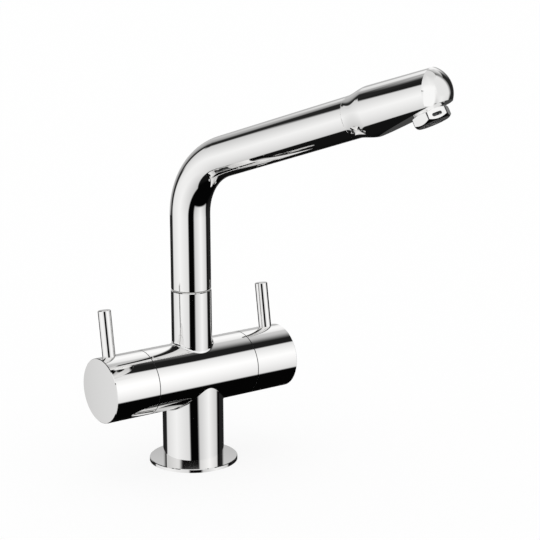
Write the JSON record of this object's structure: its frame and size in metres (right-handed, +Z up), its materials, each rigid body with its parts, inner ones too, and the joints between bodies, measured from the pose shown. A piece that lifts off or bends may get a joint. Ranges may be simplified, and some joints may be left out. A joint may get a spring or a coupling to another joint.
{
  "type": "monobloc mixer tap",
  "caption": "Deck-mounted kitchen mixer tap with a cross barrel body, a lever handle at each end and a tall angled swivel spout with a hexagonal aerator.",
  "frame": {"origin": "centre of the base on the worktop plane", "axes": "+Z up; X along the handle barrels, hot at -X and cold at +X; the spout reaches to -Y, swung 15.5 degrees towards +X at rest as in the picture"},
  "size_m": [0.151, 0.2339, 0.2932],
  "materials": {
    "chrome_plate": "mirror polished chrome plate on brass",
    "turned_brass": "as turned",
    "seal_rubber": "matt black nitrile",
    "disc_ceramic": "lapped white alumina ceramic",
    "stainless_steel": "plain stainless",
    "white_plastic": "acetal",
    "grey_plastic": "moulded acetal"
  },
  "bodies": {
    "tap_body": {"mixer_body": "chrome_plate", "inlet_block": "turned_brass", "hot_inlet_seal": "seal_rubber", "cold_inlet_seal": "seal_rubber", "base_flange": "chrome_plate", "base_gasket": "seal_rubber", "spout_lock_screw": "stainless_steel", "spout_thrust_washer": "white_plastic", "hot_bonnet": "turned_brass", "hot_bonnet_washer": "white_plastic", "hot_fixed_disc": "disc_ceramic", "hot_seat_seal": "seal_rubber", "hot_glide_ring": "grey_plastic", "cold_bonnet": "turned_brass", "cold_bonnet_washer": "white_plastic", "cold_fixed_disc": "disc_ceramic", "cold_seat_seal": "seal_rubber", "cold_glide_ring": "grey_plastic"},
    "spout": {"spout_spigot": "turned_brass", "spout_o_ring_lower": "seal_rubber", "spout_o_ring_upper": "seal_rubber", "spout_tube": "chrome_plate", "nozzle_sleeve": "turned_brass", "nozzle_o_ring": "seal_rubber", "nozzle_head": "chrome_plate", "aerator_housing": "chrome_plate", "aerator_seal": "seal_rubber", "aerator_screen": "stainless_steel", "aerator_insert": "grey_plastic"},
    "hot_control": {"hot_handle": "chrome_plate", "hot_lever": "chrome_plate", "hot_handle_screw": "stainless_steel", "hot_spindle": "turned_brass", "hot_spindle_o_ring": "seal_rubber", "hot_spindle_clip": "stainless_steel", "hot_spline_bush": "white_plastic", "hot_moving_disc": "disc_ceramic"},
    "cold_control": {"cold_handle": "chrome_plate", "cold_lever": "chrome_plate", "cold_handle_screw": "stainless_steel", "cold_spindle": "turned_brass", "cold_spindle_o_ring": "seal_rubber", "cold_spindle_clip": "stainless_steel", "cold_spline_bush": "white_plastic", "cold_moving_disc": "disc_ceramic"}
  },
  "joints": [
    {"name": "spout_swivel", "type": "hinge", "parent": "tap_body", "child": "spout", "pos_m": [0, 0, 0.125], "axis": [0, 0, 1], "continuous": true},
    {"name": "hot_turn", "type": "hinge", "parent": "tap_body", "child": "hot_control", "pos_m": [-0.0659, 0, 0.064], "axis": [1, 0, 0], "range_deg": [0, 90]},
    {"name": "cold_turn", "type": "hinge", "parent": "tap_body", "child": "cold_control", "pos_m": [0.0659, 0, 0.064], "axis": [1, 0, 0], "range_deg": [0, 90]}
  ]
}
